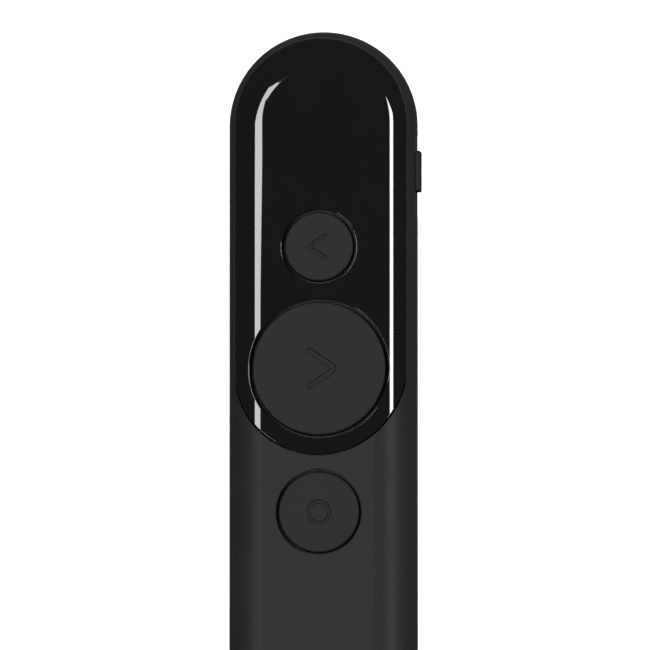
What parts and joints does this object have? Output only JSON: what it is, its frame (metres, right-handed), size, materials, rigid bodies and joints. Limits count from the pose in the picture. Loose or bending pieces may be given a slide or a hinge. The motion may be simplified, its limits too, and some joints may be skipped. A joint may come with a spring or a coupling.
{
  "type": "handheld motion controller",
  "caption": "Slim wand-shaped motion controller with a glossy inlay, round press buttons and a slide switch on its flank.",
  "frame": {"origin": "middle of the flat back, on the surface that the controller lies on", "axes": "+Y to the nose, +X to the side with the slide switch, +Z out of the button face"},
  "size_m": [0.0285, 0.1308, 0.012],
  "materials": {
    "soft_touch_plastic": "fine matte soft-touch coating",
    "gloss_panel": "piano-black polished plastic",
    "button_plastic": "fine matte moulded plastic",
    "knob_plastic": "matte moulded plastic",
    "adhesive": "black foam film",
    "steel": "plated steel",
    "rubber": "soft black rubber",
    "switch_body": "moulded",
    "switch_plunger": "moulded",
    "circuit_board": "green solder mask",
    "clear_plastic": "clear polished",
    "chip_epoxy": "moulded epoxy",
    "chip_ceramic": "fired ceramic",
    "battery_foil": "laminated pouch foil",
    "foam": "open foam",
    "socket_nylon": "moulded nylon",
    "wire_red": "insulated wire",
    "polyimide": "amber film"
  },
  "bodies": {
    "housing": {"top_shell": "soft_touch_plastic", "bottom_shell": "soft_touch_plastic", "gloss_panel": "gloss_panel", "panel_adhesive": "adhesive", "case_screws": "steel", "screw_plugs": "rubber", "back_switch": "switch_body", "next_switch": "switch_body", "home_switch": "switch_body", "slide_switch": "steel", "main_board": "circuit_board", "usb_board": "circuit_board", "radio_shield": "steel", "light_pipe": "clear_plastic", "haptic_motor": "steel", "motor_tape": "adhesive", "processor": "chip_epoxy", "motion_sensor": "chip_epoxy", "radio_antenna": "chip_ceramic", "charge_chip": "chip_epoxy", "status_light": "clear_plastic", "board_passives": "chip_ceramic", "battery_cell": "battery_foil", "battery_foam": "foam", "battery_header": "socket_nylon", "battery_leads": "wire_red", "charge_socket": "steel", "socket_tongue": "chip_epoxy", "flex_sockets": "socket_nylon", "board_flex": "polyimide"},
    "back_key": {"back_button": "button_plastic", "back_button_foot": "rubber", "back_switch_plunger": "switch_plunger"},
    "next_key": {"next_button": "button_plastic", "next_button_foot": "rubber", "next_switch_plunger": "switch_plunger"},
    "home_key": {"home_button": "button_plastic", "home_button_foot": "rubber", "home_switch_plunger": "switch_plunger"},
    "slider": {"slider_knob": "knob_plastic", "slide_switch_lever": "switch_plunger"}
  },
  "joints": [
    {"name": "back_press", "type": "slide", "parent": "housing", "child": "back_key", "axis": [0, 0, -1], "range_m": [0, 0.0004], "stiffness_N_per_m": 900, "springref_m": -0.0003},
    {"name": "next_press", "type": "slide", "parent": "housing", "child": "next_key", "axis": [0, 0, -1], "range_m": [0, 0.0004], "stiffness_N_per_m": 1200, "springref_m": -0.0003},
    {"name": "home_press", "type": "slide", "parent": "housing", "child": "home_key", "axis": [0, 0, -1], "range_m": [0, 0.0004], "stiffness_N_per_m": 900, "springref_m": -0.0003},
    {"name": "slider_travel", "type": "slide", "parent": "housing", "child": "slider", "axis": [0, -1, 0], "range_m": [0, 0.0015]}
  ]
}
